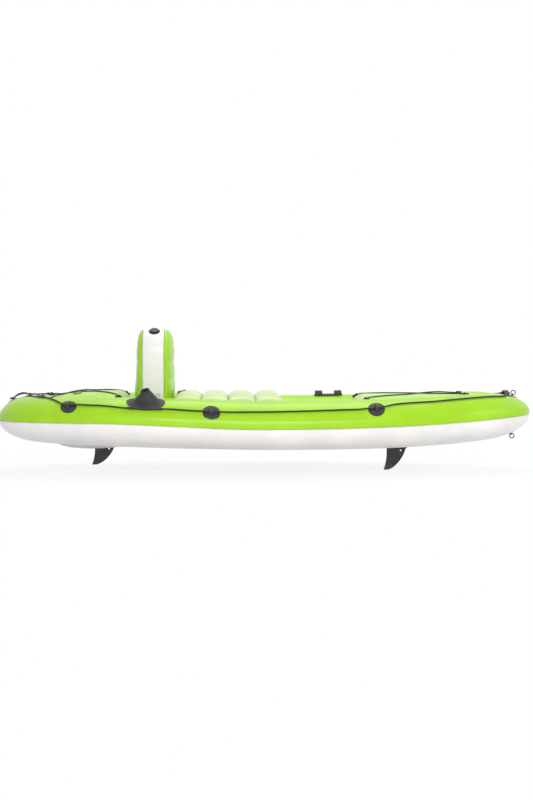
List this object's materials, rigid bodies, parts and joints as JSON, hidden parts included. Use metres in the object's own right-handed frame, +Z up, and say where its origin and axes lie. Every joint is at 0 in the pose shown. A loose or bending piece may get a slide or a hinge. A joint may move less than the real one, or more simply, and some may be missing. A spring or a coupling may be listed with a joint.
{
  "type": "inflatable kayak",
  "caption": "Inflatable sit-on-top fishing kayak with an air backrest, rod holders, grab lines, deck cords, two slide-out fins and a paddle rest.",
  "frame": {"origin": "under the middle of the overall box, level with the lowest fin tip", "axes": "+X to the bow, +Y to port, +Z up"},
  "size_m": [2.7, 1, 0.7254],
  "materials": {
    "white_skin": "satin coated fabric",
    "lime_skin": "satin coated fabric",
    "pad_skin": "satin coated fabric",
    "tab_skin": "satin",
    "valve_grey": "moulded",
    "black_rubber": "matte",
    "black_line": "braided",
    "grey_steel": "brushed",
    "fin_plastic": "moulded"
  },
  "bodies": {
    "hull": {"bottom_skin": "white_skin", "seam_flange": "white_skin", "stern_keel_ridges": "white_skin", "port_tube": "lime_skin", "starboard_tube": "lime_skin", "cockpit_floor": "pad_skin", "seat_pillow_1": "pad_skin", "seat_pillow_2": "pad_skin", "seat_pillow_3": "pad_skin", "seat_pillow_4": "pad_skin", "stern_deck": "pad_skin", "bow_deck": "pad_skin", "port_valve": "valve_grey", "starboard_valve": "valve_grey", "seat_valve": "valve_grey", "rod_holder_port": "black_rubber", "rod_holder_starboard": "black_rubber", "rope_guides_port": "black_rubber", "rope_guides_starboard": "black_rubber", "stern_bungee_eyes": "black_rubber", "bow_bungee_eyes": "black_rubber", "stern_handle": "black_rubber", "bow_handle": "black_rubber", "paddle_rest": "black_rubber", "bow_ring_patch": "black_rubber", "tow_ring_patch": "black_rubber", "grab_line_port": "black_line", "grab_line_starboard": "black_line", "stern_bungee_a": "black_line", "stern_bungee_b": "black_line", "bow_bungee_a": "black_line", "bow_bungee_b": "black_line", "front_fin_box": "fin_plastic", "rear_fin_box": "fin_plastic"},
    "backrest": {"backrest_border": "white_skin", "backrest_front_panel": "lime_skin", "backrest_rear_panel": "lime_skin", "backrest_side_tabs": "tab_skin", "backrest_valve": "black_rubber"},
    "backrest_valve_cap": {"backrest_valve_cap": "black_rubber"},
    "port_valve_cap": {"port_valve_cap": "valve_grey"},
    "starboard_valve_cap": {"starboard_valve_cap": "valve_grey"},
    "seat_valve_cap": {"seat_valve_cap": "valve_grey"},
    "bow_ring": {"bow_ring": "grey_steel"},
    "tow_ring": {"tow_ring": "grey_steel"},
    "front_fin": {"front_fin": "fin_plastic"},
    "rear_fin": {"rear_fin": "fin_plastic"}
  },
  "joints": [
    {"name": "backrest_fold", "type": "hinge", "parent": "hull", "child": "backrest", "pos_m": [-0.462, 0, 0.41077], "axis": [0, 1, 0], "range_deg": [0, 80]},
    {"name": "backrest_valve_cap_lift", "type": "slide", "parent": "backrest", "child": "backrest_valve_cap", "axis": [0, -0.4695, 0.8829], "range_m": [0, 0.03]},
    {"name": "port_valve_cap_lift", "type": "slide", "parent": "hull", "child": "port_valve_cap", "axis": [-0.1173, 0.0547, 0.9916], "range_m": [0, 0.03]},
    {"name": "starboard_valve_cap_lift", "type": "slide", "parent": "hull", "child": "starboard_valve_cap", "axis": [-0.1173, -0.0547, 0.9916], "range_m": [0, 0.03]},
    {"name": "seat_valve_cap_lift", "type": "slide", "parent": "hull", "child": "seat_valve_cap", "axis": [-0.2273, 0, 0.9738], "range_m": [0, 0.006]},
    {"name": "bow_ring_swing", "type": "hinge", "parent": "hull", "child": "bow_ring", "pos_m": [1.26461, 0, 0.3855], "axis": [0.9528, 0, -0.3037], "range_deg": [-60, 60]},
    {"name": "tow_ring_swing", "type": "hinge", "parent": "hull", "child": "tow_ring", "pos_m": [1.25851, 0, 0.18501], "axis": [0.913, 0, 0.408], "range_deg": [-60, 60]},
    {"name": "front_fin_slide", "type": "slide", "parent": "hull", "child": "front_fin", "axis": [1, 0, 0], "range_m": [0, 0.11]},
    {"name": "rear_fin_slide", "type": "slide", "parent": "hull", "child": "rear_fin", "axis": [1, 0, 0], "range_m": [0, 0.11]}
  ]
}
